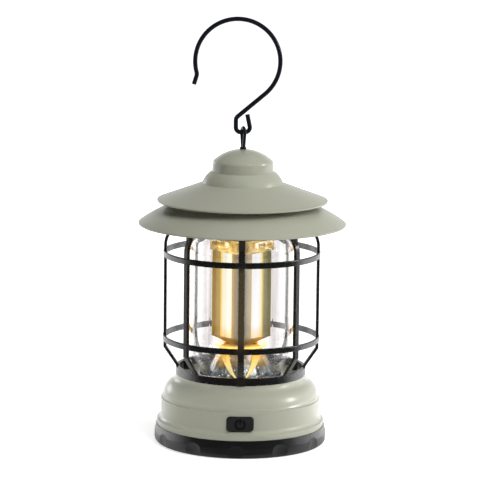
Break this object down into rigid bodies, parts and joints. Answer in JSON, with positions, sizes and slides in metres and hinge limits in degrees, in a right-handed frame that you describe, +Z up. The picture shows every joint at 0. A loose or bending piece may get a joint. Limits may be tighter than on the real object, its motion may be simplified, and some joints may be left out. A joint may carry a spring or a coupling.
{
  "type": "camping lantern",
  "caption": "Retro camping lantern: fluted twist-off battery base, caged clear lens with an LED column, two stacked brims, dome and a swivel wire hook.",
  "frame": {"origin": "centre of the base cover's resting face on the table", "axes": "+Z up along the lantern's axis, front with the power button towards -Y, +X to the right seen from the front"},
  "size_m": [0.1244, 0.1244, 0.2568],
  "materials": {
    "sage_paint": "smooth satin paint",
    "sage_shell": "smooth satin paint on a moulded shell",
    "satin_black": "satin moulded",
    "cage_black": "semi-gloss coated bars",
    "black_wire": "black coated steel wire",
    "button_rubber": "soft matt rubber",
    "seal_rubber": "matt",
    "clear_lens": "clear polished",
    "clear_sleeve": "clear polished",
    "led_light": "glowing phosphor strip",
    "column_metal": "satin extruded",
    "bright_dish": "faceted mirror bright cone",
    "board_green": "solder mask",
    "switch_black": "moulded",
    "inner_plastic": "moulded",
    "screw_steel": "zinc plated",
    "contact_metal": "nickel plated",
    "cell_wrap": "plain printed sleeve without words"
  },
  "bodies": {
    "lantern_body": {"base_housing": "sage_shell", "battery_cell_1": "cell_wrap", "battery_cell_2": "cell_wrap", "battery_cell_3": "cell_wrap", "battery_tray": "inner_plastic", "board_bracket": "inner_plastic", "cage_foot_ring": "cage_black", "cage_lower_ring": "cage_black", "cage_rib_1": "cage_black", "cage_rib_2": "cage_black", "cage_rib_3": "cage_black", "cage_rib_4": "cage_black", "cage_rib_5": "cage_black", "cage_rib_6": "cage_black", "cage_rib_7": "cage_black", "cage_rib_8": "cage_black", "cage_top_ring": "cage_black", "cage_upper_ring": "cage_black", "centre_bolt": "screw_steel", "contact_plates": "contact_metal", "contact_springs": "contact_metal", "cover_seal": "seal_rubber", "crystal_cap": "clear_sleeve", "dome_cap": "sage_paint", "lamp_head": "satin_black", "led_column": "column_metal", "led_strip_1": "led_light", "led_strip_2": "led_light", "led_strip_3": "led_light", "led_strip_4": "led_light", "lens": "clear_lens", "lens_foot_seal": "seal_rubber", "lens_head_seal": "seal_rubber", "light_sleeve": "clear_sleeve", "lower_shade": "sage_paint", "reflector": "bright_dish", "reflector_rim": "clear_sleeve", "ring_joint_plate": "cage_black", "shade_spacer": "satin_black", "switch_board": "board_green", "tactile_switch": "switch_black", "tray_screws": "screw_steel", "upper_shade": "sage_paint"},
    "base_cover": {"base_cover": "satin_black"},
    "power_button": {"power_button": "button_rubber"},
    "swivel_eye": {"swivel_eye": "black_wire", "eye_nut": "screw_steel"},
    "hook": {"hook": "black_wire"}
  },
  "joints": [
    {"name": "cover_twist", "type": "hinge", "parent": "lantern_body", "child": "base_cover", "pos_m": [0, 0, 0.005], "axis": [0, 0, -1], "range_deg": [0, 40]},
    {"name": "button_press", "type": "slide", "parent": "lantern_body", "child": "power_button", "axis": [0, 1, 0], "range_m": [0, 0.0009], "stiffness_N_per_m": 1500},
    {"name": "eye_swivel", "type": "hinge", "parent": "lantern_body", "child": "swivel_eye", "pos_m": [0, 0, 0.175], "axis": [0, 0, 1], "continuous": true},
    {"name": "hook_tilt", "type": "hinge", "parent": "swivel_eye", "child": "hook", "pos_m": [0, 0, 0.1879], "axis": [1, 0, 0], "range_deg": [-120, 120]}
  ]
}
